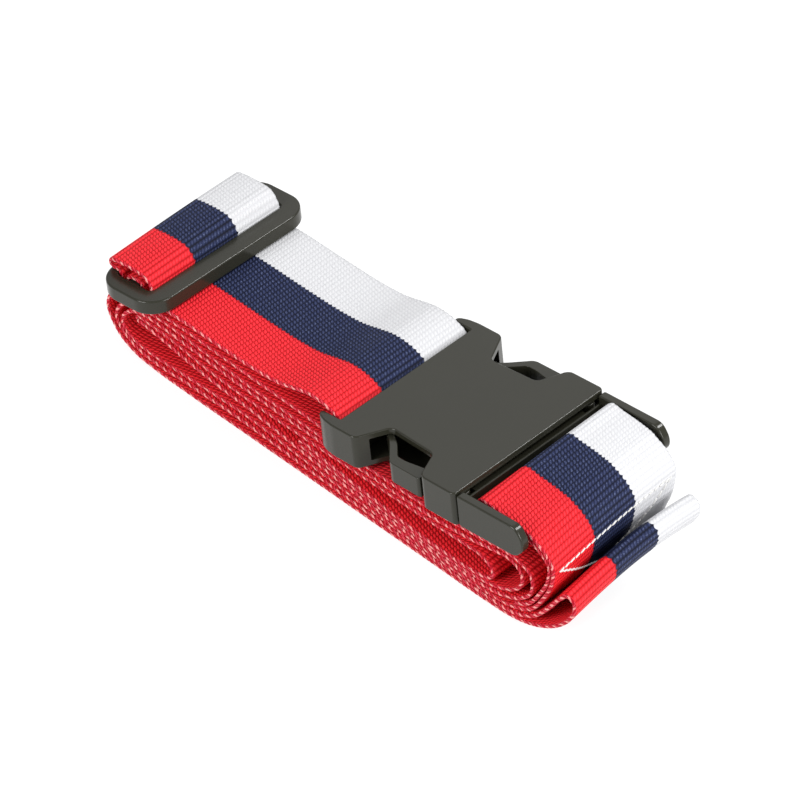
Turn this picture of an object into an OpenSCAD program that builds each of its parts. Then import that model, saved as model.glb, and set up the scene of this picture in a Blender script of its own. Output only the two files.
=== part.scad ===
// Luggage strap: one 50 mm web wound as a flat hank, with its side-release
// buckle fastened on top and its tri-glide slider at the left end.
// The hank runs along X, the web's width lies along Y, and it rests on z = 0.

/* [Web] */
// Width of the woven web
web_w = 50; // [46:0.5:50.6]
// Thickness of the woven web
web_t = 1.25; // [0.8:0.05:1.3]

/* [Buckle] */
// Width of the buckle over its sides
buckle_w = 58.4; // [58:0.2:62]
// Height of the socket half
buckle_h = 11; // [10.6:0.1:12]
// Wall of the socket half
wall = 1.8; // [1.4:0.1:2]
// Angle that the buckle lies at on the hank
buckle_tilt = 7; // [6.5:0.1:7.5]
// How much lower than the socket the plug's side arms are
arm_step = 0.35; // [0.2:0.05:0.6]

/* [Prongs] */
// Radius of a prong's root
root_r = 1.8; // [1.4:0.1:1.8]
// Clearance above and below a prong in the socket
prong_gap = 0.4; // [0.3:0.05:0.8]

/* [Slider] */
// Width of the slider along the web
slider_l = 24.2; // [23.6:0.1:25]
// Length of the slider across the web
slider_w = 62; // [60:0.5:66]
// Height of the slider's ring
slider_h = 4.5; // [4:0.1:5]
// Radius of the slider's outer corners
slider_r = 8; // [5:0.5:9]
// Angle that the slider lies at on the hank
slider_tilt = 7.8; // [7.6:0.1:8]

/* [Stitching] */
// Diameter of the sewing thread
thread_d = 0.5; // [0.3:0.05:0.6]
// How far each sewn row stops short of the web's edges
seam_inset = 2.5; // [1.5:0.5:6]

/* [Hidden] */
$fn = 48;

// The hank's left end is at 0 in the route's own numbers, and the frame's
// origin is under the middle of the hank.
hank_l = 182;
origin_x = hank_l / 2;

// The middle of the web's thickness, as [along X, up Z], in the order in which
// the web runs from the slider to its sewn tab at the plug. Each line is one
// stretch of it, and each stretch ends where the next begins.
STRETCHES = [
    // 0: under the top run, from below the slider to the socket's bar
    [[22, 23.6], [33, 24], [45, 23.7], [57, 23.4], [67, 23.3], [76, 23.1], [84, 22.8]],
    // 1: round the socket's bar
    [[90.9, 22.8], [93.5, 23.9], [94.3, 26.4], [93.9, 28.6], [92.6, 30.3]],
    // 2: the top run, back to the slider and under it
    [[90, 31.5], [86.5, 32.2], [82, 32.1], [76.5, 30.6], [70, 28.6], [62, 27.5],
     [50, 27], [38, 26.9], [33, 26.9], [25.2, 26.5], [18, 25.5]],
    // 3: the outer turn at the left end
    [[12, 24.7], [7, 23.7], [4, 21.8], [2.3, 18.9], [0.9, 15.5], [0.65, 13.2],
     [1.2, 11], [2.4, 8.8], [5.2, 5.4], [11, 2.3], [20, 1]],
    // 4: along the ground
    [[32, 0.65], [57, 0.65], [80, 0.65], [104, 0.65], [131, 0.65]],
    // 5: the loop at the right end of the hank
    [[150, 0.65], [158.5, 1.2], [166, 3.2], [171.6, 6.2], [176, 9.8], [179.6, 14.5],
     [181.35, 19], [180.7, 21.8], [178.7, 22.4], [176.7, 20.4], [172, 13.3],
     [166.6, 6.6], [159.6, 2.9]],
    // 6: second run from below
    [[150, 2.05], [131, 2.05], [104, 2.4], [80, 3.2], [57, 4.3], [32, 3.9]],
    // 7: the middle turn at the left end
    [[20, 3.4], [12.5, 4.3], [7.6, 6.6], [4.9, 9.2], [4, 11.6], [4.6, 14.2],
     [6.4, 17], [9.6, 19.6], [15, 21]],
    // 8: the upper run, under the buckle
    [[25, 21.5], [40, 20.7], [57, 19.6], [80, 19.2], [90, 19.1], [104, 19.5],
     [131, 20.4]],
    // 9: the outer turn under the plug
    [[146, 22.2], [156, 23.7], [162, 22.9], [165.1, 21.2], [166, 18.3],
     [165.4, 14.2], [162.1, 10.2], [157, 7.2]],
    // 10: fourth run from below, which roofs the open pocket at the left
    [[150, 5.5], [143, 4.9], [131, 4.75], [104, 6.1], [80, 8.2], [66, 9.8], [57, 10.8],
     [45, 11.4], [32, 12.9], [25, 14]],
    // 11: the tight fold above that pocket
    [[19, 14.8], [15, 15.2], [13.6, 15.2], [12.95, 15.5], [12.7, 16.15], [12.95, 16.8],
     [13.6, 17.1], [15, 17.1], [19, 17]],
    // 12: fifth run, above the core
    [[25, 16.8], [40, 15], [57, 14.1], [80, 14.3], [104, 14.9], [131, 15.6]],
    // 13: the open fold at the right, round the pocket over the core
    [[141, 16], [147.4, 15.8], [150.8, 13.8], [151.5, 11.3], [150.1, 9.4], [147, 8.4],
     [143, 7.85]],
    // 14: upper run of the core
    [[131, 7.55], [104, 9.3]],
    // 15: the fold that the winding starts from
    [[88, 10.9], [80, 12], [78.6, 12.05], [77.95, 11.75], [77.7, 11.1],
     [77.95, 10.45], [78.6, 10.15], [80, 10.15]],
    // 16: lower run of the core
    [[88, 9.3], [104, 7.75], [131, 6.15]],
    // 17: the inner turn under the plug
    [[143, 6.4], [147, 6.9], [152, 7.9], [157.4, 10.2], [161.3, 13.8], [162.3, 17.6],
     [161.1, 20.2], [157.6, 21.7], [152, 21.1]],
    // 18: eighth run
    [[143, 19.2], [131, 17.8], [104, 17.1], [80, 17], [57, 17.3], [40, 18.2]],
    // 19: the inner turn at the left end, round the open pocket
    [[25, 19], [17, 19.1], [12.6, 18.2], [9.2, 16], [7, 13.2], [6.6, 10.6], [8, 8.4],
     [11.5, 6.6], [18, 5.9]],
    // 20: third run from below
    [[32, 6.5], [57, 7.4], [80, 5.8], [104, 4.3], [131, 3.4]],
    // 21: up round the right end, through the plug and back as the sewn tab
    [[143, 3.45], [150, 3.7], [158.6, 4.9], [165, 8], [170, 15.5], [173.1, 23.8],
     [173.1, 29.2], [170.2, 32.6], [165.6, 34.9], [160.2, 35.7], [152.5, 36.1], [147.2, 36.1],
     [145.6, 34.5], [145.5, 32.4], [146.4, 30.7], [148.4, 30.2], [152.5, 30.8],
     [159.6, 32.5], [164.6, 33.4], [168.9, 31.5], [171.7, 28.7], [171.7, 24],
     [168.6, 16.2], [163.7, 9], [159.7, 6.8]]
];
WEB = [for (stretch = STRETCHES) each stretch];

// The slack loop over the slider's centre bar, and the sewn end round that bar,
// as [along the slider, up from its underside].
SLIDER_LOOP = [
    [17, 0.2], [17, 3], [16.7, 5.4], [14.8, 7.3], [11, 8], [6.5, 8.1], [3, 7.9],
    [1.5, 7.7], [0.7, 7.2], [0.4, 6.4], [0.7, 5.7], [1.5, 5.3], [3, 5.25],
    [4.15, 4.95], [4.7, 3.4], [4.7, 0.2]
];
SEWN_WRAP = [
    [7.2, 0.2], [7.2, 3.4], [7.7, 4.4], [8.8, 4.75], [11.6, 4.75], [12.7, 4.4],
    [13.2, 3.4], [13.2, 0.2]
];

// Where the buckle and the slider lie on the hank: the corner of each one's
// underside, at the socket's mouth and at the slider's left edge.
buckle_x = 142.3 - origin_x;
buckle_z = 26.5;
slider_x = 3 - origin_x;
slider_z = 24.3;

half_w = buckle_w / 2;
lid_z = buckle_h - wall;
arm_top = buckle_h - arm_step;
prong_z = wall + prong_gap;
prong_h = buckle_h - 2 * prong_z;
web_gap = 0.4;
lug_in = half_w - web_w / 2 - web_gap;

// Lengths along the buckle, from the socket's mouth: negative into the socket.
socket_end = -46.8;
lug_end = -53.6;
cavity_end = -41.5;
plug_end = 24.5;
root_x = -1.5;
root_y = half_w - 5;

// ---- curves ----

function start_of(k) = k == 0 ? 0 : start_of(k - 1) + len(STRETCHES[k - 1]);

// Tangent at point i: the mean of the two sides, each weighted by the other's length.
function tangent(p, i) =
    let (a = p[max(i - 1, 0)], b = p[i], c = p[min(i + 1, len(p) - 1)])
    let (back = norm(b - a), on = norm(c - b))
    back == 0 ? (c - b) / on
    : on == 0 ? (b - a) / back
    : ((b - a) / back * on + (c - b) / on * back) / (back + on);

// The point at share t of the way from point i to the next, on a smooth curve.
function curve_at(p, i, t) =
    let (a = p[i], b = p[i + 1], d = norm(b - a))
    let (t2 = t * t, t3 = t2 * t)
    (2 * t3 - 3 * t2 + 1) * a + (t3 - 2 * t2 + t) * d * tangent(p, i)
    + (3 * t2 - 2 * t3) * b + (t3 - t2) * d * tangent(p, i + 1);

// Points along the curve from point i0 to point i1, three to a side.
side_steps = 3;
function curve(p, i0, i1) = [
    for (i = [i0 : i1 - 1]) for (s = [0 : side_steps - 1]) curve_at(p, i, s / side_steps),
    p[i1]
];

function left_of(v) = [-v[1], v[0]] / norm(v);

// The direction along sampled points c at k. Its two ends keep the curve's own
// tangent, so that neighbouring stretches share one face.
function way(c, k, first, last) =
    k == 0 ? first : k == len(c) - 1 ? last : c[k + 1] - c[k - 1];

function ribbon(p, i0, i1, t) =
    let (c = curve(p, i0, i1), first = tangent(p, i0), last = tangent(p, i1))
    concat(
        [for (k = [0 : len(c) - 1]) c[k] + left_of(way(c, k, first, last)) * t / 2],
        [for (k = [len(c) - 1 : -1 : 0]) c[k] - left_of(way(c, k, first, last)) * t / 2]
    );

// A flat outline in [x, z], extruded across the web, centred on y = 0.
module across(width) {
    rotate([90, 0, 0])
        linear_extrude(height = width, center = true)
            children();
}

module stretch(k) {
    first = start_of(k);
    last = k == len(STRETCHES) - 1 ? len(WEB) - 1 : start_of(k + 1);
    color([0.84, 0.13, 0.17])
        translate([-origin_x, 0, 0])
            across(web_w)
                polygon(ribbon(WEB, first, last, web_t));
}

// ---- web ----

module web_return_run() { stretch(0); }
module web_socket_turn() { stretch(1); }
module web_top_run() { stretch(2); }
module web_left_turn_outer() { stretch(3); }
module web_base_run() { stretch(4); }
module web_end_loop() { stretch(5); }
module web_second_run() { stretch(6); }
module web_left_turn_middle() { stretch(7); }
module web_upper_run() { stretch(8); }
module web_right_turn_outer() { stretch(9); }
module web_fourth_run() { stretch(10); }
module web_left_fold() { stretch(11); }
module web_fifth_run() { stretch(12); }
module web_right_fold() { stretch(13); }
module web_sixth_run() { stretch(14); }
module web_core_fold() { stretch(15); }
module web_seventh_run() { stretch(16); }
module web_right_turn_inner() { stretch(17); }
module web_eighth_run() { stretch(18); }
module web_left_turn_inner() { stretch(19); }
module web_ninth_run() { stretch(20); }
module web_plug_fold() { stretch(21); }

module on_slider() {
    translate([slider_x, 0, slider_z])
        rotate([0, -slider_tilt, 0])
            children();
}

module slider_web(p) {
    color([0.84, 0.13, 0.17])
        on_slider()
            across(web_w)
                polygon(ribbon(p, 0, len(p) - 1, web_t));
}

module web_slider_loop() { slider_web(SLIDER_LOOP); }
module web_sewn_wrap() { slider_web(SEWN_WRAP); }

// ---- stitching ----

// One sewn row across the web, lying on its surface at [x, z].
module seam_row(x, z) {
    translate([x, 0, z])
        rotate([90, 0, 0])
            cylinder(d = thread_d, h = web_w - 2 * seam_inset, center = true);
}

// A row's middle, out from the web's surface at a place on the curve.
seam_lift = web_t / 2 + thread_d / 2 + 0.03;
function seam_at(p, i, t) =
    curve_at(p, i, t) - left_of(curve_at(p, i, t + 0.01) - curve_at(p, i, t)) * seam_lift;

// Two rows hold the tab: one on the bend at the right end, one lower down.
plug_rows = [[start_of(21) + 5, 0.5], [start_of(21) + 3, 0.2]];

module stitch_plug_tab() {
    color([0.95, 0.94, 0.92])
        translate([-origin_x, 0, 0])
            for (row = plug_rows) {
                at = seam_at(WEB, row[0], row[1]);
                seam_row(at[0], at[1]);
            }
}

wrap_rows = [9.5, 11];

module stitch_slider_wrap() {
    color([0.95, 0.94, 0.92])
        on_slider()
            for (a = wrap_rows)
                seam_row(a, 4.88 + seam_lift);
}

// ---- buckle ----

module on_buckle() {
    translate([buckle_x, 0, buckle_z])
        rotate([0, -buckle_tilt, 0])
            children();
}

module plastic() {
    color([0.26, 0.26, 0.235])
        children();
}

// A point given as [along the buckle, in from its near side].
function side(points, s) = [for (q = points) [q[0], s * (half_w - q[1])]];
function turned(points) = [for (k = [len(points) - 1 : -1 : 0]) points[k]];

// Half of the socket's outline seen from above, from the lug's tip to the mouth.
SOCKET_SIDE = [
    [socket_end, lug_in], [lug_end + 0.3, lug_in], [lug_end, lug_in - 0.3], [lug_end, 2.7],
    [-52.8, 1.7], [-50.6, 0.8], [-47, 0.3], [-39, 0.3], [-37.8, 1], [-33.5, 9.2],
    [-32.3, 9.9], [-17.6, 9.1], [-16.4, 8.4], [-13.3, 1.1], [-12, 0.1], [-1, 0], [0, 0.7]
];

module socket_outline() {
    polygon(concat(side(SOCKET_SIDE, -1), turned(side(SOCKET_SIDE, 1))));
}

module socket_bar() {
    across(buckle_w - 2 * lug_in + 2)
        polygon([[-53.2, 4.6], [-52.4, 3.9], [-51.1, 3.9], [-50.4, 4.6], [-50.4, 7],
                 [-51.1, 7.7], [-52.4, 7.7], [-53.2, 7]]);
}

module socket_body() {
    rib_l = 30;
    rib_w = 1.2;
    rib_h = 1.4;
    plastic()
        on_buckle() {
            difference() {
                linear_extrude(height = buckle_h)
                    socket_outline();
                translate([cavity_end, -half_w + 4, wall])
                    cube([-cavity_end - 5, buckle_w - 8, lid_z - wall]);
                translate([-15, -half_w + 2, wall])
                    cube([16, buckle_w - 4, lid_z - wall]);
            }
            for (s = [-1, 1])
                translate([cavity_end - 0.2, s * 6.4 - rib_w / 2, wall - 0.2])
                    cube([rib_l, rib_w, rib_h + 0.2]);
            socket_bar();
        }
}

// Side view of one of the plug's arms, with its rounded end.
module arm_side() {
    low = arm_step;
    polygon([
        [0.5, low], [plug_end - 4.5, low], [plug_end - 2, low + 0.8],
        [plug_end - 0.5, low + 2.6], [plug_end, low + 4.6], [plug_end, arm_top - 5],
        [plug_end - 0.6, arm_top - 3], [plug_end - 2, arm_top - 1.2],
        [plug_end - 4.5, arm_top], [0.5, arm_top]
    ]);
}

module plug_frame() {
    arm_t = 2.7;
    arm_y = half_w - arm_step;
    beam_end = 3;
    block_l = 7;
    tongue_l = 28;
    plastic()
        on_buckle() {
            for (s = [-1, 1])
                translate([0, s * (arm_y - arm_t / 2), 0])
                    across(arm_t)
                        arm_side();
            across(2 * arm_y - 2)
                polygon([[0.5, 1.4], [beam_end, 1.4], [beam_end, 4.5], [1.8, 5.4], [1.8, 8.4],
                         [0.9, 8.4], [0.9, 5.2], [0.5, 4.6]]);
            across(2 * arm_y - 2)
                polygon([[5.6, 4.6], [6.3, 3.9], [8.9, 3.9], [9.6, 4.6], [9.6, 6.2],
                         [8.9, 6.9], [6.3, 6.9], [5.6, 6.2]]);
            translate([-block_l, -21.4, prong_z])
                cube([block_l + 0.6, 42.8, 5.4]);
            translate([-tongue_l, -5, 3.6])
                cube([tongue_l, 10, 3.8]);
        }
}

// One sprung prong seen from above: its root, its arm, the button and the tip.
PRONG_SIDE = [
    [root_x + 0.4, 5.15 - root_r], [-14.3, 3.1], [-13.9, 1.1], [-14.7, 0.7], [-24.6, 0.8],
    [-25.8, 1.3], [-30.4, 6], [-33.6, 8.8], [-36.2, 10.2], [-35.7, 11.2], [-33.2, 10.6],
    [-29, 7.7], [-25.3, 4], [-22, 4], [-14, 5.4], [root_x + 0.4, 4.85 + root_r]
];

module prong() {
    plastic()
        on_buckle()
            translate([0, 0, prong_z])
                linear_extrude(height = prong_h) {
                    polygon(side(PRONG_SIDE, 1));
                    translate([root_x, root_y])
                        circle(r = root_r);
                }
}

module prong_near() {
    mirror([0, 1, 0])
        prong();
}

module prong_far() { prong(); }

// ---- slider ----

// A rectangle with round corners, its near left corner at [x, -w / 2].
module rounded(x, l, w, r) {
    translate([x + r, -w / 2])
        square([l - 2 * r, w]);
    translate([x, -w / 2 + r])
        square([l, w - 2 * r]);
    for (cx = [x + r, x + l - r], cy = [-w / 2 + r, w / 2 - r])
        translate([cx, cy])
            circle(r = r);
}

bar_l = 3.6;
slot_w = web_w + 1.2;
centre_bar = [8, 12.4];
right_bar_x = 17.8;

module slider_ring() {
    plastic()
        on_slider() {
            linear_extrude(height = slider_h)
                difference() {
                    rounded(0, slider_l, slider_w, slider_r);
                    rounded(bar_l, right_bar_x - bar_l, slot_w, 1.5);
                }
            translate([centre_bar[0], -slot_w / 2 - 1, 0.5])
                cube([centre_bar[1] - centre_bar[0], slot_w + 2, 3.4]);
        }
}

web_return_run();
web_socket_turn();
web_top_run();
web_left_turn_outer();
web_base_run();
web_end_loop();
web_second_run();
web_left_turn_middle();
web_upper_run();
web_right_turn_outer();
web_fourth_run();
web_left_fold();
web_fifth_run();
web_right_fold();
web_sixth_run();
web_core_fold();
web_seventh_run();
web_right_turn_inner();
web_eighth_run();
web_left_turn_inner();
web_ninth_run();
web_plug_fold();
web_slider_loop();
web_sewn_wrap();
stitch_plug_tab();
stitch_slider_wrap();
socket_body();
plug_frame();
prong_near();
prong_far();
slider_ring();
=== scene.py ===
"""Luggage strap: a tri-colour web wound into a flat hank, with its buckle and slider."""

import math

import bmesh
import bpy
import numpy as np
from mathutils import Matrix, Vector


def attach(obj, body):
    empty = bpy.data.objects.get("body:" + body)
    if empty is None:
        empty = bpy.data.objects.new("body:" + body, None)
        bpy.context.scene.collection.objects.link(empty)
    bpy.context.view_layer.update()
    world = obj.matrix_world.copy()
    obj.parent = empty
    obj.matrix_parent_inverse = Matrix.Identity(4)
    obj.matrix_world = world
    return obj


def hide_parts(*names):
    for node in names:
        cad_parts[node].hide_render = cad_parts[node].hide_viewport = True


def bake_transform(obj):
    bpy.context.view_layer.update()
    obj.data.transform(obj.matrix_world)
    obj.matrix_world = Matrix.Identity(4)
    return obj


MM = 0.001
HANK_L = 182.0
ORIGIN_X = HANK_L / 2

bpy.ops.wm.read_factory_settings(use_empty=True)
scene = bpy.context.scene
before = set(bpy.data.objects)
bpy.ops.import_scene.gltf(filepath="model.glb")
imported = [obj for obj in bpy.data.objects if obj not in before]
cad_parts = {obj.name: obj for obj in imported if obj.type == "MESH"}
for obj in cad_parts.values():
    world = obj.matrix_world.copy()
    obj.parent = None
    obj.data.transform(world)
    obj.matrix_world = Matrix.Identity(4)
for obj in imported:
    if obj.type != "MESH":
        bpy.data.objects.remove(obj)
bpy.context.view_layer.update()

# ---------------------------------------------------------------- sizes, mm

WEB_W = 50.0
WEB_T = 1.25
SELVEDGE_W = 0.55
FLAT_HALF = WEB_W / 2 - SELVEDGE_W
ROW = 1.52              # from one row of the weave to the next, along the web
FLOAT_W = 1.15          # from one yarn float to the next, across the web
STRIPE_HALF = 8.2       # half the width of the navy stripe
CORD_TURN = 3.3         # from one bead of the selvedge's cord to the next
WEB_STEP = 0.4333       # from one ring of the web's mesh to the next
WEB_COLUMNS = 26        # points across each flat face of the web's mesh
UV_MM = 100.0           # mm of web to one unit of its UV map
BUCKLE_W = 58.4
BUCKLE_H = 11.0
WALL = 1.8
BUCKLE_TILT = 7.0
ARM_STEP = 0.35
ROOT_R = 1.8
PRONG_GAP = 0.4
SLIDER_L = 24.2
SLIDER_W = 62.0
SLIDER_H = 4.5
SLIDER_R = 8.0
SLIDER_TILT = 7.8

# The buckle's own frame: +X towards the plug, from the socket's mouth, and Z up from its base.
HALF_W = BUCKLE_W / 2
LID_Z = BUCKLE_H - WALL
ARM_TOP = BUCKLE_H - ARM_STEP
PRONG_Z = WALL + PRONG_GAP
PRONG_H = BUCKLE_H - 2 * PRONG_Z
LUG_IN = HALF_W - WEB_W / 2 - 0.4
SOCKET_END = -46.8
LUG_END = -53.6
CAVITY_END = -41.5
PLUG_END = 24.5
ROOT_X = -1.5

# The middle of the web's thickness, as [along X, up Z], stretch by stretch,
# from the slider to the sewn tab at the plug.
STRETCHES = [
    [[22, 23.6], [33, 24], [45, 23.7], [57, 23.4], [67, 23.3], [76, 23.1], [84, 22.8]],
    [[90.9, 22.8], [93.5, 23.9], [94.3, 26.4], [93.9, 28.6], [92.6, 30.3]],
    [[90, 31.5], [86.5, 32.2], [82, 32.1], [76.5, 30.6], [70, 28.6], [62, 27.5],
     [50, 27], [38, 26.9], [33, 26.9], [25.2, 26.5], [18, 25.5]],
    [[12, 24.7], [7, 23.7], [4, 21.8], [2.3, 18.9], [0.9, 15.5], [0.65, 13.2],
     [1.2, 11], [2.4, 8.8], [5.2, 5.4], [11, 2.3], [20, 1]],
    [[32, 0.65], [57, 0.65], [80, 0.65], [104, 0.65], [131, 0.65]],
    [[150, 0.65], [158.5, 1.2], [166, 3.2], [171.6, 6.2], [176, 9.8], [179.6, 14.5],
     [181.35, 19], [180.7, 21.8], [178.7, 22.4], [176.7, 20.4], [172, 13.3],
     [166.6, 6.6], [159.6, 2.9]],
    [[150, 2.05], [131, 2.05], [104, 2.4], [80, 3.2], [57, 4.3], [32, 3.9]],
    [[20, 3.4], [12.5, 4.3], [7.6, 6.6], [4.9, 9.2], [4, 11.6], [4.6, 14.2],
     [6.4, 17], [9.6, 19.6], [15, 21]],
    [[25, 21.5], [40, 20.7], [57, 19.6], [80, 19.2], [90, 19.1], [104, 19.5],
     [131, 20.4]],
    [[146, 22.2], [156, 23.7], [162, 22.9], [165.1, 21.2], [166, 18.3],
     [165.4, 14.2], [162.1, 10.2], [157, 7.2]],
    [[150, 5.5], [143, 4.9], [131, 4.75], [104, 6.1], [80, 8.2], [66, 9.8], [57, 10.8],
     [45, 11.4], [32, 12.9], [25, 14]],
    [[19, 14.8], [15, 15.2], [13.6, 15.2], [12.95, 15.5], [12.7, 16.15], [12.95, 16.8],
     [13.6, 17.1], [15, 17.1], [19, 17]],
    [[25, 16.8], [40, 15], [57, 14.1], [80, 14.3], [104, 14.9], [131, 15.6]],
    [[141, 16], [147.4, 15.8], [150.8, 13.8], [151.5, 11.3], [150.1, 9.4], [147, 8.4],
     [143, 7.85]],
    [[131, 7.55], [104, 9.3]],
    [[88, 10.9], [80, 12], [78.6, 12.05], [77.95, 11.75], [77.7, 11.1],
     [77.95, 10.45], [78.6, 10.15], [80, 10.15]],
    [[88, 9.3], [104, 7.75], [131, 6.15]],
    [[143, 6.4], [147, 6.9], [152, 7.9], [157.4, 10.2], [161.3, 13.8], [162.3, 17.6],
     [161.1, 20.2], [157.6, 21.7], [152, 21.1]],
    [[143, 19.2], [131, 17.8], [104, 17.1], [80, 17], [57, 17.3], [40, 18.2]],
    [[25, 19], [17, 19.1], [12.6, 18.2], [9.2, 16], [7, 13.2], [6.6, 10.6], [8, 8.4],
     [11.5, 6.6], [18, 5.9]],
    [[32, 6.5], [57, 7.4], [80, 5.8], [104, 4.3], [131, 3.4]],
    [[143, 3.45], [150, 3.7], [158.6, 4.9], [165, 8], [170, 15.5], [173.1, 23.8],
     [173.1, 29.2], [170.2, 32.6], [165.6, 34.9], [160.2, 35.7], [152.5, 36.1], [147.2, 36.1],
     [145.6, 34.5], [145.5, 32.4], [146.4, 30.7], [148.4, 30.2], [152.5, 30.8],
     [159.6, 32.5], [164.6, 33.4], [168.9, 31.5], [171.7, 28.7], [171.7, 24],
     [168.6, 16.2], [163.7, 9], [159.7, 6.8]],
]
SLIDER_LOOP = [
    [17, 0.2], [17, 3], [16.7, 5.4], [14.8, 7.3], [11, 8], [6.5, 8.1], [3, 7.9],
    [1.5, 7.7], [0.7, 7.2], [0.4, 6.4], [0.7, 5.7], [1.5, 5.3], [3, 5.25],
    [4.15, 4.95], [4.7, 3.4], [4.7, 0.2],
]
SEWN_WRAP = [
    [7.2, 0.2], [7.2, 3.4], [7.7, 4.4], [8.8, 4.75], [11.6, 4.75], [12.7, 4.4],
    [13.2, 3.4], [13.2, 0.2],
]

STRAP_NODES = [
    "web_return_run", "web_socket_turn", "web_top_run", "web_left_turn_outer",
    "web_base_run", "web_end_loop", "web_second_run", "web_left_turn_middle",
    "web_upper_run", "web_right_turn_outer", "web_fourth_run", "web_left_fold",
    "web_fifth_run", "web_right_fold", "web_sixth_run", "web_core_fold",
    "web_seventh_run", "web_right_turn_inner", "web_eighth_run",
    "web_left_turn_inner", "web_ninth_run",
]

BUCKLE_AT = (Matrix.Translation(((142.3 - ORIGIN_X) * MM, 0, 26.5 * MM))
             @ Matrix.Rotation(math.radians(-BUCKLE_TILT), 4, "Y"))
SLIDER_AT = (Matrix.Translation(((3 - ORIGIN_X) * MM, 0, 24.3 * MM))
             @ Matrix.Rotation(math.radians(-SLIDER_TILT), 4, "Y"))
HANK_AT = Matrix.Translation((-ORIGIN_X * MM, 0, 0))

# ---------------------------------------------------------------- materials

# Linear colours. A pair runs from the gaps between the yarns to their crowns: the darker gap end
# is partly the yarns' own colour and partly painted shade in the hollows between them.
RED = (0.35, 0.001, 0.003, 1), (1.0, 0.034, 0.048, 1)
NAVY = (0.0012, 0.0016, 0.0055, 1), (0.029, 0.039, 0.102, 1)
NAVY_GLINT = (0.13, 0.16, 0.26, 1)
WHITE = (0.555, 0.557, 0.575, 1), (0.645, 0.647, 0.663, 1)
BORDER_SHADE = (0.006, 0.004, 0.010, 1)
NEAR_CORD = (0.40, 0.001, 0.012, 1), (0.68, 0.045, 0.075, 1)
NEAR_BEAD = (0.82, 0.30, 0.28, 1)
FAR_CORD = (0.51, 0.515, 0.535, 1), (0.65, 0.652, 0.67, 1)
PLASTIC = (0.0200, 0.0198, 0.0130, 1), (0.0236, 0.0232, 0.0160, 1)
THREAD = (0.66, 0.655, 0.64, 1)
FLOOR = (0.22, 0.22, 0.22, 1)


class Nodes:
    """A short way to write a material's node tree."""

    def __init__(self, name):
        self.mat = bpy.data.materials.new(name)
        self.mat.use_nodes = True
        self.tree = self.mat.node_tree
        self.bsdf = self.tree.nodes["Principled BSDF"]

    def put(self, socket, value):
        if isinstance(value, bpy.types.NodeSocket):
            self.tree.links.new(value, socket)
        else:
            socket.default_value = value

    def math(self, op, a, b=None, c=None):
        n = self.tree.nodes.new("ShaderNodeMath")
        n.operation = op
        for i, v in enumerate((a, b, c)):
            if v is not None:
                self.put(n.inputs[i], v)
        return n.outputs[0]

    def mix(self, share, a, b):
        n = self.tree.nodes.new("ShaderNodeMix")
        n.data_type = "RGBA"
        self.put(n.inputs[0], share)
        self.put(n.inputs[6], a)
        self.put(n.inputs[7], b)
        return n.outputs[2]

    def step(self, value, low, high):
        n = self.tree.nodes.new("ShaderNodeMapRange")
        n.interpolation_type = "SMOOTHSTEP"
        self.put(n.inputs[0], value)
        n.inputs[1].default_value = low
        n.inputs[2].default_value = high
        return n.outputs[0]

    def noise(self, vector, scale, detail=2.0):
        n = self.tree.nodes.new("ShaderNodeTexNoise")
        self.put(n.inputs["Vector"], vector)
        n.inputs["Scale"].default_value = scale
        n.inputs["Detail"].default_value = detail
        return n.outputs[0]

    def bump(self, height, strength, distance):
        n = self.tree.nodes.new("ShaderNodeBump")
        n.inputs["Strength"].default_value = strength
        n.inputs["Distance"].default_value = distance
        self.put(n.inputs["Height"], height)
        self.set("Normal", n.outputs[0])

    def set(self, name, value):
        self.put(self.bsdf.inputs[name], value)


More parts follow.
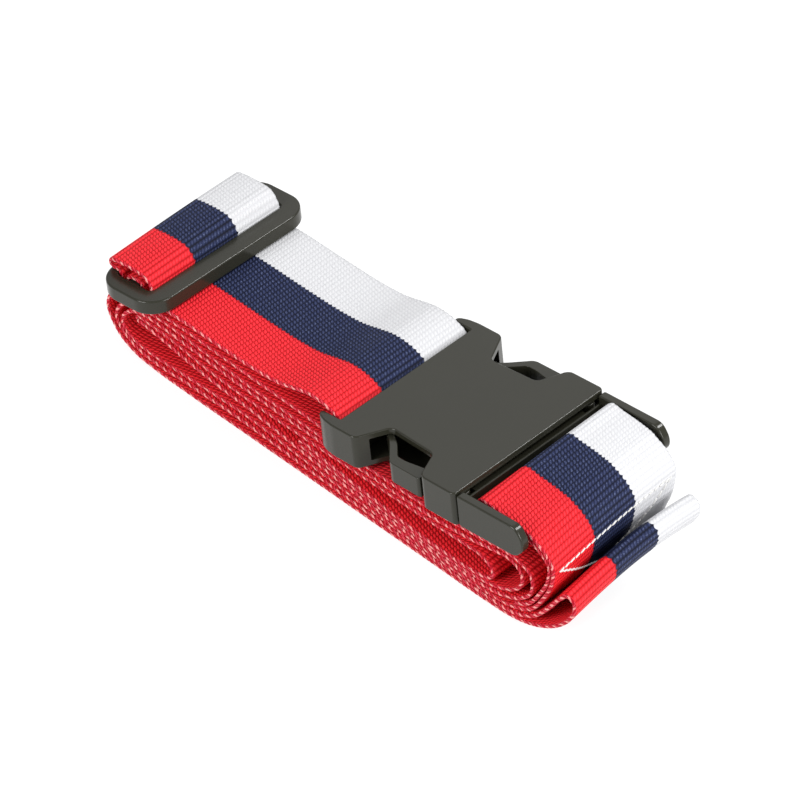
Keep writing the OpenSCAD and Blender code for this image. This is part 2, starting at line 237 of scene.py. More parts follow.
def web_material():
    """UV is (along the web, across it) in mm / UV_MM, with v past the flat half on a selvedge.
    The attribute "bend" says how far the rows are opened by a bend."""
    m = Nodes("web")
    uv = m.tree.nodes.new("ShaderNodeUVMap")
    uv.uv_map = "web"
    split = m.tree.nodes.new("ShaderNodeSeparateXYZ")
    m.put(split.inputs[0], uv.outputs[0])
    s = m.math("MULTIPLY", split.outputs[0], UV_MM)
    y = m.math("MULTIPLY", split.outputs[1], UV_MM)
    bend = m.tree.nodes.new("ShaderNodeAttribute")
    bend.attribute_name = "bend"
    wobble = m.math("MULTIPLY", m.math("SUBTRACT", m.noise(uv.outputs[0], 90.0), 0.5), 0.5)
    # Yarn floats: rows across the web, each of slanted dashes, and each row a third on.
    row = m.math("DIVIDE", s, ROW)
    part = m.math("FRACT", row)
    column = m.math("DIVIDE", m.math("ADD", y, wobble), FLOAT_W)
    column = m.math("SUBTRACT", column, m.math("MULTIPLY", part, 0.7))
    column = m.math("SUBTRACT", column, m.math("MULTIPLY", m.math("FLOOR", row), 0.35))
    across = m.math("ABSOLUTE", m.math("SINE", m.math("MULTIPLY", column, math.pi)))
    along = m.math("SINE", m.math("MULTIPLY", part, math.pi))
    high = m.math("MULTIPLY", m.math("POWER", across, 0.8), m.math("POWER", along, 0.55))
    # On a bend every row stands up as a ridge, and the dashes fade into it.
    ridge = m.math("MULTIPLY", m.math("POWER", along, 1.7),
                   m.math("MULTIPLY_ADD", across, 0.45, 0.6))
    open_row = m.math("MULTIPLY", bend.outputs["Fac"], 0.65)
    high = m.math("ADD", m.math("MULTIPLY", high, m.math("SUBTRACT", 1.0, open_row)),
                  m.math("MULTIPLY", ridge, open_row))
    tone = m.noise(uv.outputs[0], 260.0)
    # The share from each colour's gap end to its crown: the yarns' pattern, with painted shade in
    # the gaps and between the ridges.
    floats_and_shade = m.math("MULTIPLY", m.math("POWER", high, 0.85),
                  m.math("MULTIPLY_ADD", tone, 0.8, 0.62))

    glint = m.math("MULTIPLY", m.step(floats_and_shade, 0.70, 1.0), m.step(tone, 0.50, 0.66))
    navy = m.mix(m.math("MULTIPLY", glint, 0.6), m.mix(floats_and_shade, *NAVY), NAVY_GLINT)
    # The stripes' borders are stepped by the yarns, over a quarter of a millimetre.
    stepped = m.math("ADD", y, m.math("MULTIPLY", m.math("SUBTRACT", along, 0.6), 0.55))
    past_red = m.step(stepped, -STRIPE_HALF - 0.25, -STRIPE_HALF)
    past_navy = m.step(stepped, STRIPE_HALF, STRIPE_HALF + 0.25)
    colour = m.mix(past_navy, m.mix(past_red, m.mix(floats_and_shade, *RED), navy), m.mix(floats_and_shade, *WHITE))
    # A line of shade where the red meets the navy.
    off_border = m.math("ABSOLUTE", m.math("ADD", stepped, STRIPE_HALF))
    shade = m.math("SUBTRACT", 1.0, m.step(off_border, 0.1, 0.6))
    colour = m.mix(m.math("MULTIPLY", shade, 0.5), colour, BORDER_SHADE)

    # The selvedge is a slanted cord: red with a pale bead at each turn on the near edge,
    # and all white on the far one.
    out = m.math("SUBTRACT", m.math("ABSOLUTE", y), FLAT_HALF + 0.1)
    on_edge = m.step(out, -0.1, 0.15)
    drift = m.math("MULTIPLY", m.noise(uv.outputs[0], 40.0), 0.8)
    turn = m.math("SUBTRACT", m.math("ADD", m.math("DIVIDE", s, CORD_TURN), drift),
                  m.math("MULTIPLY", out, 0.42))
    # The strands run from their grooves, darkened by painted shade, to their crowns.
    strand = m.math("SINE", m.math("MULTIPLY", turn, 4 * math.pi))
    strand = m.step(m.math("ADD", strand, m.math("SUBTRACT", tone, 0.5)), -0.5, 0.9)
    bead = m.math("SINE", m.math("MULTIPLY", turn, 2 * math.pi))
    bead = m.step(m.math("ADD", bead, m.math("SUBTRACT", tone, 0.5)), 0.35, 0.95)
    middle = m.math("ABSOLUTE", m.math("SUBTRACT", out, 0.8))
    bead = m.math("MULTIPLY", bead, m.math("SUBTRACT", 1.0, m.step(middle, 0.3, 0.6)))
    near = m.mix(bead, m.mix(strand, *NEAR_CORD), NEAR_BEAD)
    far = m.mix(strand, *FAR_CORD)
    colour = m.mix(on_edge, colour, m.mix(m.step(y, -1.0, 1.0), near, far))
    m.set("Base Color", colour)
    m.set("Roughness", 0.55)
    m.set("Specular IOR Level", 0.12)
    # The white stripe is flatter than the others where it isn't bent.
    flat_white = m.math("MULTIPLY", past_navy, m.math("SUBTRACT", 1.0, open_row))
    flatter = m.math("MULTIPLY_ADD", flat_white, -0.6, 1.0)
    relief = m.mix(on_edge, m.math("MULTIPLY", high, flatter), m.math("MAXIMUM", strand, bead))
    m.bump(relief, strength=0.9, distance=0.3 * MM)
    return m.mat


def plastic_material():
    m = Nodes("moulded_plastic")
    place = m.tree.nodes.new("ShaderNodeTexCoord")
    fine = m.noise(place.outputs["Object"], 900.0, 3.0)
    broad = m.noise(place.outputs["Object"], 45.0, 2.0)
    m.set("Base Color", m.mix(broad, *PLASTIC))
    m.set("Roughness", m.math("MULTIPLY_ADD", fine, 0.08, 0.17))
    m.set("Specular IOR Level", 0.32)
    m.bump(fine, strength=0.12, distance=0.06 * MM)
    return m.mat


def thread_material():
    m = Nodes("thread")
    m.set("Base Color", THREAD)
    m.set("Roughness", 0.6)
    return m.mat


def floor_material():
    """A floor that glows a little, so that it stays near white all over."""
    m = Nodes("floor")
    m.set("Base Color", FLOOR)
    m.set("Roughness", 0.9)
    m.set("Specular IOR Level", 0.1)
    m.set("Emission Color", (1, 1, 1, 1))
    m.set("Emission Strength", 0.84)
    return m.mat


WEB_MAT = web_material()
PLASTIC_MAT = plastic_material()
THREAD_MAT = thread_material()

# ---------------------------------------------------------------- mesh help


def make_object(name, verts, faces, material, matrix):
    """A smooth-shaded mesh, moved by the matrix if there is one."""
    mesh = bpy.data.meshes.new(name)
    mesh.from_pydata([tuple(v) for v in verts], [], [tuple(f) for f in faces])
    mesh.validate()
    mesh.materials.append(material)
    if matrix is not None:
        mesh.transform(matrix)
    mesh.update()
    mesh.shade_smooth()
    obj = bpy.data.objects.new(name, mesh)
    scene.collection.objects.link(obj)
    return obj


def tidy_normals(obj, angle=32.0):
    """Consistent outward faces, and a crease wherever two faces meet sharply."""
    bm = bmesh.new()
    bm.from_mesh(obj.data)
    bmesh.ops.recalc_face_normals(bm, faces=bm.faces)
    limit = math.radians(angle)
    for e in bm.edges:
        e.smooth = not (len(e.link_faces) == 2 and e.calc_face_angle(0.0) > limit)
    bm.to_mesh(obj.data)
    bm.free()
    return obj


def tangent(p, i):
    """The unit-speed tangent at point i, weighted towards its nearer neighbour."""
    a, b, c = p[max(i - 1, 0)], p[i], p[min(i + 1, len(p) - 1)]
    back, on = np.linalg.norm(b - a), np.linalg.norm(c - b)
    if back == 0:
        return (c - b) / on
    if on == 0:
        return (b - a) / back
    return ((b - a) / back * on + (c - b) / on * back) / (back + on)


def curve_at(p, i, t):
    """A Hermite curve from point i to the next one, at t from 0 to 1."""
    a, b = p[i], p[i + 1]
    d = np.linalg.norm(b - a)
    t2, t3 = t * t, t * t * t
    return ((2 * t3 - 3 * t2 + 1) * a + (t3 - 2 * t2 + t) * d * tangent(p, i)
            + (3 * t2 - 2 * t3) * b + (t3 - t2) * d * tangent(p, i + 1))


def follow(points):
    """The curve through points, resampled evenly: places, unit normals, and distance along."""
    p = np.array(points, float)
    fine = 40
    dense = [curve_at(p, i, k / fine) for i in range(len(p) - 1) for k in range(fine)]
    dense = np.array(dense + [p[-1]])
    run = np.concatenate([[0], np.cumsum(np.linalg.norm(np.diff(dense, axis=0), axis=1))])
    count = max(2, round(run[-1] / WEB_STEP))
    at = np.linspace(0, run[-1], count + 1)
    places = np.column_stack([np.interp(at, run, dense[:, k]) for k in (0, 1)])
    way = np.gradient(places, axis=0)
    for _ in range(2):
        way[1:-1] = (way[:-2] + 2 * way[1:-1] + way[2:]) / 4
    way /= np.linalg.norm(way, axis=1)[:, None]
    normals = np.column_stack([-way[:, 1], way[:, 0]])
    return places, normals, at


def ease(value, low, high):
    """0 up to low, 1 from high, and smooth between."""
    t = np.clip((value - low) / (high - low), 0, 1)
    return t * t * (3 - 2 * t)


def skew_share(y, sweep=90):
    """How much of a skew the web has taken up at y: none at its near edge, and at its far one
    all of it, or less where the sweep in degrees is past 90 and the web arches."""
    return math.sin(math.radians(sweep) * (y / WEB_W + 0.5))


# The selvedge's points: the angle round its edge, and how far past the flat web its UV runs,
# out of SELVEDGE_V in all.
SELVEDGE_RING = ((60, 0.25), (25, 0.6), (-25, 1.0), (-60, 1.35))
SELVEDGE_V = 1.6


def on_selvedge(y):
    return abs(y) > FLAT_HALF + 0.01


def web_ring():
    """The web's cross-section, as (across, up, across on the UV map), in mm."""
    t = WEB_T / 2
    ys = np.linspace(-FLAT_HALF, FLAT_HALF, WEB_COLUMNS)
    ring = [(y, t, y) for y in ys]
    for side_ys, sign, points in ((ys[::-1], 1, SELVEDGE_RING), ((), -1, SELVEDGE_RING[::-1])):
        for angle, v in points:
            a = math.radians(angle)
            ring.append((sign * (FLAT_HALF + SELVEDGE_W * math.cos(a)), t * math.sin(a),
                         sign * (FLAT_HALF + v)))
        ring += [(y, -t, y) for y in side_ys]
    return ring


def web_uv(ring, k):
    """The UV across the web at both ends of side k of the ring, as the outer faces number it:
    where the flat underside meets a selvedge, the selvedge's numbering ends at its full width."""
    (y, h, v), (y2, h2, v2) = ring[k], ring[(k + 1) % len(ring)]
    if on_selvedge(y) and not on_selvedge(y2):
        v2 = math.copysign(FLAT_HALF + (SELVEDGE_V if h2 < 0 else 0.0), v)
    if on_selvedge(y2) and not on_selvedge(y):
        v = math.copysign(FLAT_HALF + (SELVEDGE_V if h < 0 else 0.0), v2)
    return v, v2


def opened_rows(places, at, ring):
    """How far a bend opens the rows, 0 to 1, at each place and each point of the ring."""
    blur = 9
    ahead = np.arctan2(np.gradient(places[:, 1]), np.gradient(places[:, 0]))
    curl = np.gradient(np.unwrap(ahead)) / np.gradient(at)
    curl = np.convolve(np.pad(curl, blur // 2, mode="edge"), np.ones(blur) / blur, mode="valid")
    height = np.array([h for _, h, _ in ring]) / (WEB_T / 2)
    per_curl, least = 9, 0.25
    return np.clip(-curl[:, None] * height[None, :] * per_curl - least, 0, 1)


def web_mesh(name, places, normals, at, matrix, lean=None, sweep=90):
    """A web of full thickness along a flat route, with a rounded, beaded selvedge.
    lean gives each place's shift at the far edge, none at the near one, as the cloth skews."""
    ring = web_ring()
    n = len(ring)
    bead_h, bead_sink = 0.16, 0.12
    beads = bead_h * np.abs(np.sin(np.pi * at / ROW)) - bead_sink
    verts = np.zeros((len(at), n, 3))
    for k, (y, h, _) in enumerate(ring):
        verts[:, k, 0] = places[:, 0] + normals[:, 0] * h
        verts[:, k, 1] = y + (np.sign(y) * beads if on_selvedge(y) else 0.0)
        verts[:, k, 2] = places[:, 1] + normals[:, 1] * h
        if lean is not None:
            verts[:, k, ::2] += lean * skew_share(y, sweep)
    faces, uvs = [], []
    side_vs = [web_uv(ring, k) for k in range(n)]
    for i in range(len(at) - 1):
        for k, (v, v2) in enumerate(side_vs):
            k2 = (k + 1) % n
            faces.append((i * n + k, (i + 1) * n + k, (i + 1) * n + k2, i * n + k2))
            uvs.append(((at[i], v), (at[i + 1], v), (at[i + 1], v2), (at[i], v2)))
    for i, order in ((0, 1), (len(at) - 1, -1)):
        faces.append([i * n + k for k in range(n)][::order])
        uvs.append([(at[i], ring[k][2]) for k in range(n)][::order])
    obj = make_object(name, verts.reshape(-1, 3) * MM, faces, WEB_MAT, matrix)
    obj.data.attributes.new("bend", "FLOAT", "POINT").data.foreach_set(
        "value", opened_rows(places, at, ring).astype(np.float32).ravel())
    layer = obj.data.uv_layers.new(name="web")
    flat = np.array([c for face in uvs for c in face], np.float32) / UV_MM
    layer.data.foreach_set("uv", flat.ravel())
    tidy_normals(obj, 50)
    return obj


def inset(outline, d):
    """The outline moved inward by d: each side moves in, and corners stay where sides meet."""
    p = np.array(outline, float)
    area = 0.5 * np.sum(p[:, 0] * np.roll(p[:, 1], -1) - np.roll(p[:, 0], -1) * p[:, 1])
    e = np.roll(p, -1, axis=0) - p
    e /= np.linalg.norm(e, axis=1)[:, None]
    inward = np.column_stack([-e[:, 1], e[:, 0]]) * (1 if area > 0 else -1)
    before = np.roll(inward, 1, axis=0)
    both = inward + before
    both /= np.maximum(np.sum(both * inward, axis=1), 0.35)[:, None]
    return p + both * d


def edge_rings(z0, z1, r, steps):
    """How far in and how high each ring lies, from z0 to z1, to round both edges to radius r."""
    rings = []
    for k in range(steps + 1):
        a = math.pi / 2 * k / steps
        rings.append((r * (1 - math.sin(a)), z0 + r * (1 - math.cos(a))))
    return rings + [(d, z1 - (z - z0)) for d, z in rings[::-1]]


def prism(name, outline, z0, z1, r, matrix, axes="xy"):
    """A plate of that outline with its edges rounded to radius r. axes="xz" stands it on edge.
    Without a matrix it is left in mm, for cutting."""
    rings = edge_rings(z0, z1, r, 4)
    n = len(outline)
    verts, faces = [], []
    for d, z in rings:
        for a, b in inset(outline, d):
            verts.append((a, b, z) if axes == "xy" else (a, z, b))
    for k in range(len(rings) - 1):
        for i in range(n):
            j = (i + 1) % n
            faces.append((k * n + i, k * n + j, (k + 1) * n + j, (k + 1) * n + i))
    faces.append(list(range(n))[::-1])
    faces.append([(len(rings) - 1) * n + i for i in range(n)])
    unit = MM if matrix is not None else 1.0
    obj = make_object(name, np.array(verts) * unit, faces, PLASTIC_MAT, matrix)
    return tidy_normals(obj)


def smooth_outline(points, rounds, steps=6):
    """The outline with each corner cut to a curve; rounds gives each corner's reach in mm."""
    p = [np.array(q, float) for q in points]
    out = []
    for i, q in enumerate(p):
        a, b = p[i - 1], p[(i + 1) % len(p)]
        reach = rounds[i] if isinstance(rounds, (list, tuple)) else rounds
        reach = min(reach, 0.48 * np.linalg.norm(a - q), 0.48 * np.linalg.norm(b - q))
        if reach < 0.02:
            out.append(q)
            continue
        s = q + (a - q) / np.linalg.norm(a - q) * reach
        e = q + (b - q) / np.linalg.norm(b - q) * reach
        for k in range(steps + 1):
            t = k / steps
            out.append((1 - t) ** 2 * s + 2 * t * (1 - t) * q + t * t * e)
    return out


def box_outline(x0, x1, y0, y1):
    return [(x0, y0), (x1, y0), (x1, y1), (x0, y1)]


def rounded_outline(x0, x1, y0, y1, r):
    out, steps = [], 12
    for cx, cy, a0 in ((x1 - r, y1 - r, 0), (x0 + r, y1 - r, 90),
                       (x0 + r, y0 + r, 180), (x1 - r, y0 + r, 270)):
        for k in range(steps + 1):
            a = math.radians(a0 + 90 * k / steps)
            out.append((cx + r * math.cos(a), cy + r * math.sin(a)))
    return out


def join(name, objs, body, node):
    """One piece of moulded plastic that rides on the body and stands for the node."""
    bpy.ops.object.select_all(action="DESELECT")
    for o in objs:
        o.select_set(True)
    bpy.context.view_layer.objects.active = objs[0]
    bpy.ops.object.join()
    obj = objs[0]
    obj.name = name
    obj.data.name = name
    # Large faces set the shading where they meet a rounded edge.
    mod = obj.modifiers.new("flat_faces", "WEIGHTED_NORMAL")
    mod.keep_sharp = True
    bpy.ops.object.modifier_apply(modifier=mod.name)
    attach(obj, body)
    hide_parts(node)


def cut(obj, tool):
    """Take the tool's shape out of the object, and delete the tool."""
    mod = obj.modifiers.new("cut", "BOOLEAN")
    mod.object = tool
    mod.operation = "DIFFERENCE"
    mod.solver = "EXACT"
    bpy.context.view_layer.objects.active = obj
    bpy.ops.object.modifier_apply(modifier="cut")
    bpy.data.objects.remove(tool)


# ---------------------------------------------------------------- the web

route = [q for stretch in STRETCHES for q in stretch]
places, normals, at = follow(route)


def start_of(k):
    """The sample nearest to where stretch k starts."""
    q = np.array(route[sum(len(s) for s in STRETCHES[:k])], float)
    return int(np.argmin(np.linalg.norm(places - q, axis=1)))


# The hank is three pieces of seven stretches each, and the last stretch is the plug's ply.
END_LOOP = 5
PER_PIECE = 7
cuts = [start_of(PER_PIECE * k) for k in range(4)]
plug_ply = slice(cuts[3], len(at))

# The right-hand turns skew a little: the end loop rises towards its far edge,
# and the ply round the plug leans back there. A lean is (along X, up Z).
lean = np.zeros((len(at), 2))
end_loop = slice(start_of(END_LOOP), start_of(END_LOOP + 1))
lean[end_loop] = ease(places[end_loop, 0], 156, 178)[:, None] * np.array([-1.0, 3.3])
ply_x, ply_z = places[plug_ply].T
lean[plug_ply, 0] = -2.0 * (ease(ply_x, 156, 168) * ease(ply_z, 6, 20))
lean[plug_ply, 1] = np.maximum(2.6 * (ease(ply_x, 149, 158) * ease(ply_z, 18, 28)),
                               2.9 * (ease(ply_x, 144, 149) * ease(ply_z, 33.6, 35.2)))
hank = []
for k in range(3):
    run = slice(cuts[k], cuts[k + 1] + 1)
    piece = web_mesh(f"web_hank_{k + 1}", places[run], normals[run], at[run], HANK_AT,
                     lean[run], sweep=130)
    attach(piece, "strap")
    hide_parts(*STRAP_NODES[PER_PIECE * k:PER_PIECE * (k + 1)])
    hank.append(piece)

plug_web = web_mesh("web_plug_fold_cloth", places[plug_ply], normals[plug_ply], at[plug_ply],
                    HANK_AT, lean[plug_ply])
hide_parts("web_plug_fold")

loop_places, loop_normals, loop_at = follow(SLIDER_LOOP)
loop_lean = ease(loop_places[:, 1], 5, 8)[:, None] * np.array([0, 1.4])
loop_web = web_mesh("web_slider_loop_cloth", loop_places, loop_normals, loop_at, SLIDER_AT,
                    loop_lean)
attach(loop_web, "slider")
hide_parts("web_slider_loop")
wrap_places, wrap_normals, wrap_at = follow(SEWN_WRAP)
wrap_web = web_mesh("web_sewn_wrap_cloth", wrap_places, wrap_normals, wrap_at, SLIDER_AT)
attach(wrap_web, "slider")
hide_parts("web_sewn_wrap")

# ---------------------------------------------------------------- the socket


def side(points, s):
    """An outline's points, (along X, in from the buckle's side), on side s, -1 near or 1 far."""
    return [(q[0], s * (HALF_W - q[1])) for q in points]


SOCKET_SIDE = [
    [SOCKET_END, LUG_IN], [LUG_END, LUG_IN], [LUG_END, 2.4],
    [-52.8, 1.7], [-50.6, 0.8], [-47, 0.3], [-39, 0.3], [-37.8, 1], [-33.5, 9.2],
    [-32.3, 9.9], [-17.6, 9.1], [-16.4, 8.4], [-13.3, 1.1], [-12, 0.1], [-1, 0], [0, 0.7],
]
# How far each of those corners is rounded.
SOCKET_ROUND = [0.5, 0.7, 0.6, 1, 1, 1, 0.6, 0.6, 1.2, 1.2, 1, 1, 1, 1, 0.8, 0.5]


def socket():
    outline = smooth_outline(side(SOCKET_SIDE, -1) + side(SOCKET_SIDE, 1)[::-1],
                             SOCKET_ROUND + SOCKET_ROUND[::-1])
    shell = prism("socket_shell", outline, 0, BUCKLE_H, 0.45, None)
    for x0, x1, wall, r in ((CAVITY_END, -5, 4, 0.4), (-15, 1, 2, 0.3)):
        hole = box_outline(x0, x1, -HALF_W + wall, HALF_W - wall)
        cut(shell, prism("hole", hole, WALL, LID_Z, r, None))
    shell.data.transform(BUCKLE_AT @ Matrix.Scale(MM, 4))
    tidy_normals(shell)
    reach = HALF_W - LUG_IN + 1
    bar = prism("socket_bar", smooth_outline(box_outline(-53.2, -50.3, 3.8, 7.7), 1.2),
                -reach, reach, 0.1, BUCKLE_AT, axes="xz")
    ribs = [prism("rib", box_outline(CAVITY_END - 0.2, CAVITY_END + 29.8, y - 0.6, y + 0.6),
                  WALL - 0.2, WALL + 1.4, 0.2, BUCKLE_AT) for y in (-6.4, 6.4)]
    join("socket_moulding", [shell, bar] + ribs, "strap", "socket_body")


socket()

# ---------------------------------------------------------------- the plug


def plug():
    low = ARM_STEP
    arm = smooth_outline([(0.5, low), (PLUG_END - 3, low), (PLUG_END, low + 3.5),
                          (PLUG_END, ARM_TOP - 3.8), (PLUG_END - 2.2, ARM_TOP), (0.5, ARM_TOP)],
                         [0.9, 3, 3, 3, 2.5, 0.9])
    arm_y, arm_t = HALF_W - ARM_STEP, 2.7
    parts = [prism("arm", arm, y, y + arm_t, 0.5, BUCKLE_AT, axes="xz")
             for y in (-arm_y, arm_y - arm_t)]
    beam = smooth_outline([(0.5, 1.4), (3, 1.4), (3, 4.5), (1.8, 5.4), (1.8, 8.4), (0.9, 8.4),
                           (0.9, 5.2), (0.5, 4.6)], [0.3, 0.3, 0.5, 0.5, 0.3, 0.3, 0.3, 0.3], 3)
    bar = smooth_outline(box_outline(5.6, 9.6, 3.9, 6.9), 1.1)
    parts += [
        prism("beam", beam, -arm_y + 0.8, arm_y - 0.8, 0.05, BUCKLE_AT, axes="xz"),
        prism("bar", bar, -arm_y + 1, arm_y - 1, 0.1, BUCKLE_AT, axes="xz"),
        prism("block", box_outline(-7, 0.6, -21.4, 21.4), PRONG_Z, PRONG_Z + 5.4, 0.4, BUCKLE_AT),
        prism("tongue", box_outline(-28, 0, -5, 5), 3.6, 7.4, 0.5, BUCKLE_AT),
    ]
    join("plug_moulding", parts, "plug", "plug_frame")


plug()

# The prong's outline, in the same form as the socket's side.
PRONG_SIDE = [
    [ROOT_X + 0.4, 5.15 - ROOT_R], [-14.3, 3.1], [-13.9, 1.1], [-14.7, 0.7], [-24.6, 0.8],
    [-25.8, 1.3], [-30.4, 6], [-33.6, 8.8], [-36.2, 10.2], [-35.7, 11.2], [-33.2, 10.6],
    [-29, 7.7], [-25.3, 4], [-22, 4], [-14, 5.4], [ROOT_X + 0.4, 4.85 + ROOT_R],
]


def prong(s, name):
    top = PRONG_Z + PRONG_H
    outline = smooth_outline(side(PRONG_SIDE, s), 0.8, 3)
    arm = prism(name + "_arm", outline, PRONG_Z, top, 0.2, BUCKLE_AT)
    root_y = s * (HALF_W - 5)
    ring = [(ROOT_X + ROOT_R * math.cos(a), root_y + ROOT_R * math.sin(a))
            for a in np.linspace(0, 2 * math.pi, 33)[:-1]]
    root = prism(name + "_root", ring, PRONG_Z, top, 0.4, BUCKLE_AT)
    join(name + "_spring", [arm, root], name, name)


prong(-1, "prong_near")
prong(1, "prong_far")

# ---------------------------------------------------------------- the slider


def ring_plate(name, outer, inner, z0, z1, r, matrix):
    """A ring between two outlines of equal count, with all its edges rounded."""
    rings = edge_rings(z0, z1, r, 5)
    loops = [(inset(outer, d), z) for d, z in rings]
    loops += [(inset(inner, -d), z) for d, z in rings[::-1]]
    n = len(outer)
    verts = [(a, b, z) for loop, z in loops for a, b in loop]
    faces = []
    for k in range(len(loops)):
        k2 = (k + 1) % len(loops)
        for i in range(n):
            j = (i + 1) % n
            faces.append((k * n + i, k * n + j, k2 * n + j, k2 * n + i))
    obj = make_object(name, np.array(verts) * MM, faces, PLASTIC_MAT, matrix)
    return tidy_normals(obj)


def slider():
    slot_half = WEB_W / 2 + 0.6
    outer = rounded_outline(0, SLIDER_L, -SLIDER_W / 2, SLIDER_W / 2, SLIDER_R)
    inner = rounded_outline(3.6, 17.8, -slot_half, slot_half, 1.5)
    ring = ring_plate("ring", outer, inner, 0, SLIDER_H, 0.55, SLIDER_AT)
    bar = prism("bar", smooth_outline(box_outline(8, 12.4, 0.5, 3.9), 1), -slot_half - 1,
                slot_half + 1, 0.1, SLIDER_AT, axes="xz")
    join("slider_moulding", [ring, bar], "slider", "slider_ring")


slider()

# ---------------------------------------------------------------- stitching


def capsules(name, ends, radius, matrix):
    """One short thread stitch between each pair of points, in mm."""
    verts, faces = [], []
    sides = 8
    for p, q in ends:
        p, q = Vector(p), Vector(q)
        way = (q - p).normalized()
        up = way.orthogonal().normalized()
        other = way.cross(up)
        base = len(verts)
        rows = [(p - way * radius * 0.9, 0.25), (p - way * radius * 0.5, 0.8), (p, 1.0),
                (q, 1.0), (q + way * radius * 0.5, 0.8), (q + way * radius * 0.9, 0.25)]
        for c, scale in rows:
            for k in range(sides):
                a = 2 * math.pi * k / sides
                verts.append(c + (up * math.cos(a) + other * math.sin(a)) * radius * scale)
        for row in range(len(rows) - 1):
            for k in range(sides):
                k2 = (k + 1) % sides
                faces.append([base + row * sides + k, base + row * sides + k2,
                              base + (row + 1) * sides + k2, base + (row + 1) * sides + k])
        faces.append([base + k for k in range(sides)][::-1])
        faces.append([base + (len(rows) - 1) * sides + k for k in range(sides)])
    obj = make_object(name, np.array([tuple(v) for v in verts]) * MM, faces, THREAD_MAT, matrix)
    return tidy_normals(obj, 60)


def surface_point(pl, nr, run, skews, flat_at, lift):
    """The place of a point on the flat web, (along the route, across it), lifted off it."""
    s, y = flat_at
    x, z = (np.interp(s, run, pl[:, k]) + np.interp(s, run, nr[:, k]) * lift
            + np.interp(s, run, skews[:, k]) * skew_share(y)
            for k in (0, 1))
    return (x, y, z)


def stitches(pl, nr, run, skews, lines, lift):
    """Slanted stitches along lines drawn on the flat web, each from (s, y) to (s, y)."""
    pitch, gap, slant = 2.1, 0.8, 0.16
    out = []
    for a, b in lines:
        a, b = np.array(a, float), np.array(b, float)
        way = (b - a) / np.linalg.norm(b - a)
        aside = np.array([-way[1], way[0]]) * slant
        count = max(1, round(np.linalg.norm(b - a) / pitch))
        for k in range(count):
            t0, t1 = k / count, (k + 1 - gap / pitch) / count
            p, q = a + (b - a) * t0 + aside, a + (b - a) * t1 - aside
            out.append((surface_point(pl, nr, run, skews, p, lift),
                        surface_point(pl, nr, run, skews, q, lift)))
    return out


# The tab's seam is on the outer face of the ply round the plug: two rows across the web,
# and two diagonals between them.
SEAM_Y = 22.5
top_row = at[cuts[3]] + 44.0
low_row = top_row - 32
tab_lines = [((top_row, -SEAM_Y), (top_row, SEAM_Y)), ((low_row, -SEAM_Y), (low_row, SEAM_Y)),
             ((top_row, -SEAM_Y), (low_row, SEAM_Y)), ((top_row, SEAM_Y), (low_row, -SEAM_Y))]
tab_stitches = stitches(places[plug_ply], normals[plug_ply], at[plug_ply], lean[plug_ply],
                        tab_lines, -WEB_T / 2 - 0.06)
tab_seam = capsules("stitch_tab", tab_stitches, 0.3, HANK_AT)
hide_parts("stitch_plug_tab")

wrap_lines = [((6.2, -22), (6.2, 22)), ((7.7, -22), (7.7, 22))]
wrap_stitches = stitches(wrap_places, wrap_normals, wrap_at, np.zeros_like(wrap_places),
                         wrap_lines, WEB_T / 2 + 0.1)
wrap_seam = capsules("stitch_wrap", wrap_stitches, 0.25, SLIDER_AT)
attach(wrap_seam, "slider")
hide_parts("stitch_slider_wrap")

# The ply round the plug's bar bends between the hank and the plug, and rides on neither: its
# place is baked into its mesh.
for piece in (plug_web, tab_seam):
    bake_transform(piece)

# ---------------------------------------------------------------- cloth pieces, listed with their lengths

sheets = [(piece, at[cuts[k + 1]] - at[cuts[k]], "web_plug_fold_cloth")
          for k, piece in enumerate(hank)]
sheets += [(plug_web, at[-1] - at[cuts[3]], "plug_frame"),
           (loop_web, loop_at[-1], "slider_ring"),
           (wrap_web, wrap_at[-1], "slider_ring")]

# ---------------------------------------------------------------- stage

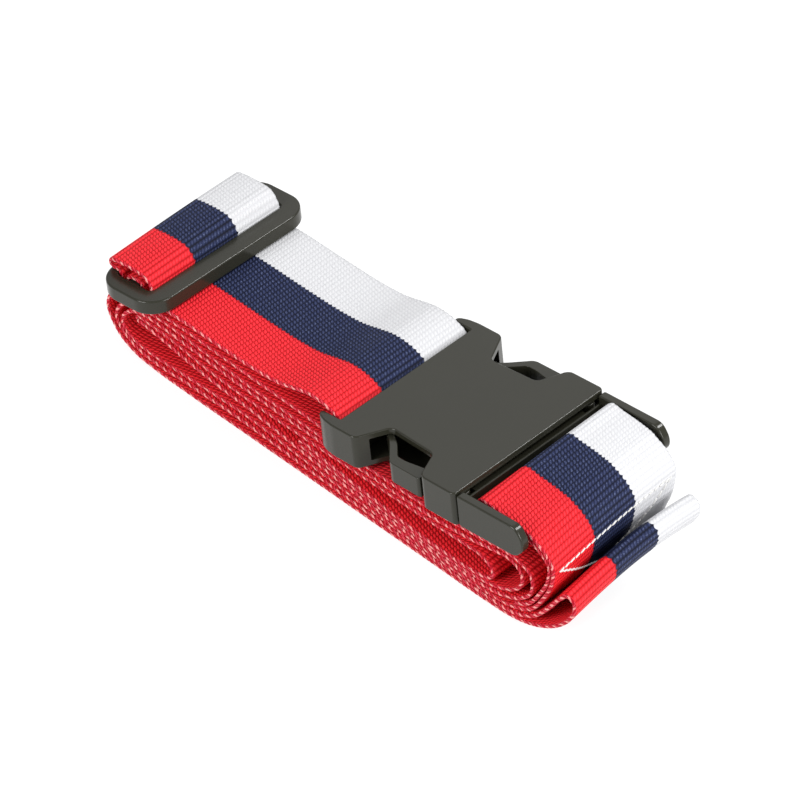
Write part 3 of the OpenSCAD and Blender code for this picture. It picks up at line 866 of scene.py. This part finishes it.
FLOOR_HALF = 3.0        # metres
floor_mesh = bpy.data.meshes.new("floor")
floor_mesh.from_pydata([(x * FLOOR_HALF, y * FLOOR_HALF, 0)
                        for x, y in ((-1, -1), (1, -1), (1, 1), (-1, 1))], [], [(0, 1, 2, 3)])
floor_mesh.materials.append(floor_material())
floor = bpy.data.objects.new("floor", floor_mesh)
scene.collection.objects.link(floor)


def area_light(name, place, size, power):
    """A round lamp of that size in metres and power in watts, pointed at the origin."""
    data = bpy.data.lights.new(name, "AREA")
    data.shape = "DISK"
    data.size = size
    data.energy = power
    obj = bpy.data.objects.new(name, data)
    obj.location = place
    obj.rotation_euler = (-Vector(place)).to_track_quat("-Z", "Y").to_euler()
    scene.collection.objects.link(obj)


world = bpy.data.worlds.new("world")
scene.world = world
world.use_nodes = True
background = world.node_tree.nodes["Background"]
background.inputs["Color"].default_value = (1.0, 1.0, 1.0, 1)
background.inputs["Strength"].default_value = 0.55
area_light("key", (0.40, 0.70, 1.08), 0.35, 8.0)
area_light("near_fill", (-0.25, -1.0, 0.55), 0.6, 8.5)
area_light("right_fill", (0.95, 0.0, 0.45), 0.5, 7.0)
area_light("back_fill", (-0.75, 0.85, 0.95), 0.9, 1.5)

# The camera looks from the near right, at the middle of the hank.
CAM_AZIMUTH = math.radians(44.7)
CAM_ELEVATION = math.radians(43.1)
CAM_DISTANCE = 1.5
CAM_TARGET = Vector((0.0011, 0, 0.0203))
cam_data = bpy.data.cameras.new("camera")
cam_data.sensor_width = 36
cam_data.lens = 245.5
cam_data.clip_start = 0.01
cam_data.clip_end = 20
cam = bpy.data.objects.new("camera", cam_data)
back = Vector((math.sin(CAM_AZIMUTH) * math.cos(CAM_ELEVATION),
               -math.cos(CAM_AZIMUTH) * math.cos(CAM_ELEVATION), math.sin(CAM_ELEVATION)))
cam.location = CAM_TARGET + back * CAM_DISTANCE
cam.rotation_euler = back.to_track_quat("Z", "Y").to_euler()
scene.collection.objects.link(cam)
scene.camera = cam

scene.view_settings.view_transform = "Standard"
scene.view_settings.look = "None"
